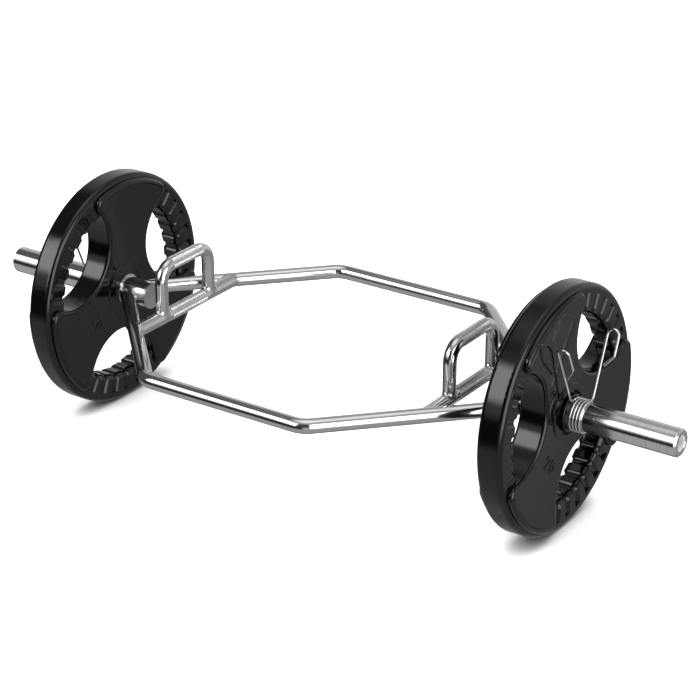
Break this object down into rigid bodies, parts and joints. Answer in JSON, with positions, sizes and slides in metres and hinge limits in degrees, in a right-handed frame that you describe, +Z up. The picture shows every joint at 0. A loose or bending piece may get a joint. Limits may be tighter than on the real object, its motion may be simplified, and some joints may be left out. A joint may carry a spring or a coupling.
{
  "type": "hex trap bar",
  "caption": "Hexagonal deadlift bar with low and raised knurled handles, sleeves loaded with rubber grip plates and wire spring collars.",
  "frame": {"origin": "point on the floor under the middle of the bar, where the plates stand", "axes": "+X along the sleeves to the right, +Y from the front bar to the rear bar, +Z up"},
  "size_m": [1.424, 0.622, 0.4426],
  "materials": {
    "chrome": "polished chrome plate, knurled on the grips",
    "spring_wire": "bright plated spring wire",
    "rubber": "moulded semi-gloss rubber",
    "iron": "as cast",
    "bush_steel": "turned steel"
  },
  "bodies": {
    "frame": {"front_hex_bar": "chrome", "rear_hex_bar": "chrome", "right_sleeve": "chrome", "right_inner_cap": "chrome", "right_stop_ring": "chrome", "right_low_handle": "chrome", "right_high_handle": "chrome", "left_sleeve": "chrome", "left_inner_cap": "chrome", "left_stop_ring": "chrome", "left_low_handle": "chrome", "left_high_handle": "chrome"},
    "right_collar": {"right_collar_coil": "spring_wire", "right_collar_inner_lever": "spring_wire"},
    "right_collar_lever": {"right_collar_outer_lever": "spring_wire"},
    "right_plate": {"right_plate_rubber": "rubber", "right_plate_core": "iron", "right_plate_bush": "bush_steel"},
    "left_collar": {"left_collar_coil": "spring_wire", "left_collar_inner_lever": "spring_wire"},
    "left_collar_lever": {"left_collar_outer_lever": "spring_wire"},
    "left_plate": {"left_plate_rubber": "rubber", "left_plate_core": "iron", "left_plate_bush": "bush_steel"}
  },
  "joints": [
    {"name": "right_collar_slide", "type": "slide", "parent": "frame", "child": "right_collar", "axis": [1, 0, 0], "range_m": [0, 0.27]},
    {"name": "right_plate_spin", "type": "hinge", "parent": "right_collar", "child": "right_plate", "pos_m": [0.4758, 0, 0.2213], "axis": [1, 0, 0], "continuous": true},
    {"name": "right_collar_squeeze", "type": "hinge", "parent": "right_collar", "child": "right_collar_lever", "pos_m": [0.5254, 0, 0.2213], "axis": [1, 0, 0], "range_deg": [0, 35], "stiffness_Nm_per_rad": 12, "springref_deg": -11.46, "deforming": ["right_collar_coil"]},
    {"name": "left_collar_slide", "type": "slide", "parent": "frame", "child": "left_collar", "axis": [-1, 0, 0], "range_m": [0, 0.27]},
    {"name": "left_plate_spin", "type": "hinge", "parent": "left_collar", "child": "left_plate", "pos_m": [-0.4758, 0, 0.2213], "axis": [-1, 0, 0], "continuous": true},
    {"name": "left_collar_squeeze", "type": "hinge", "parent": "left_collar", "child": "left_collar_lever", "pos_m": [-0.5254, 0, 0.2213], "axis": [-1, 0, 0], "range_deg": [0, 35], "stiffness_Nm_per_rad": 12, "springref_deg": -11.46, "deforming": ["left_collar_coil"]}
  ]
}
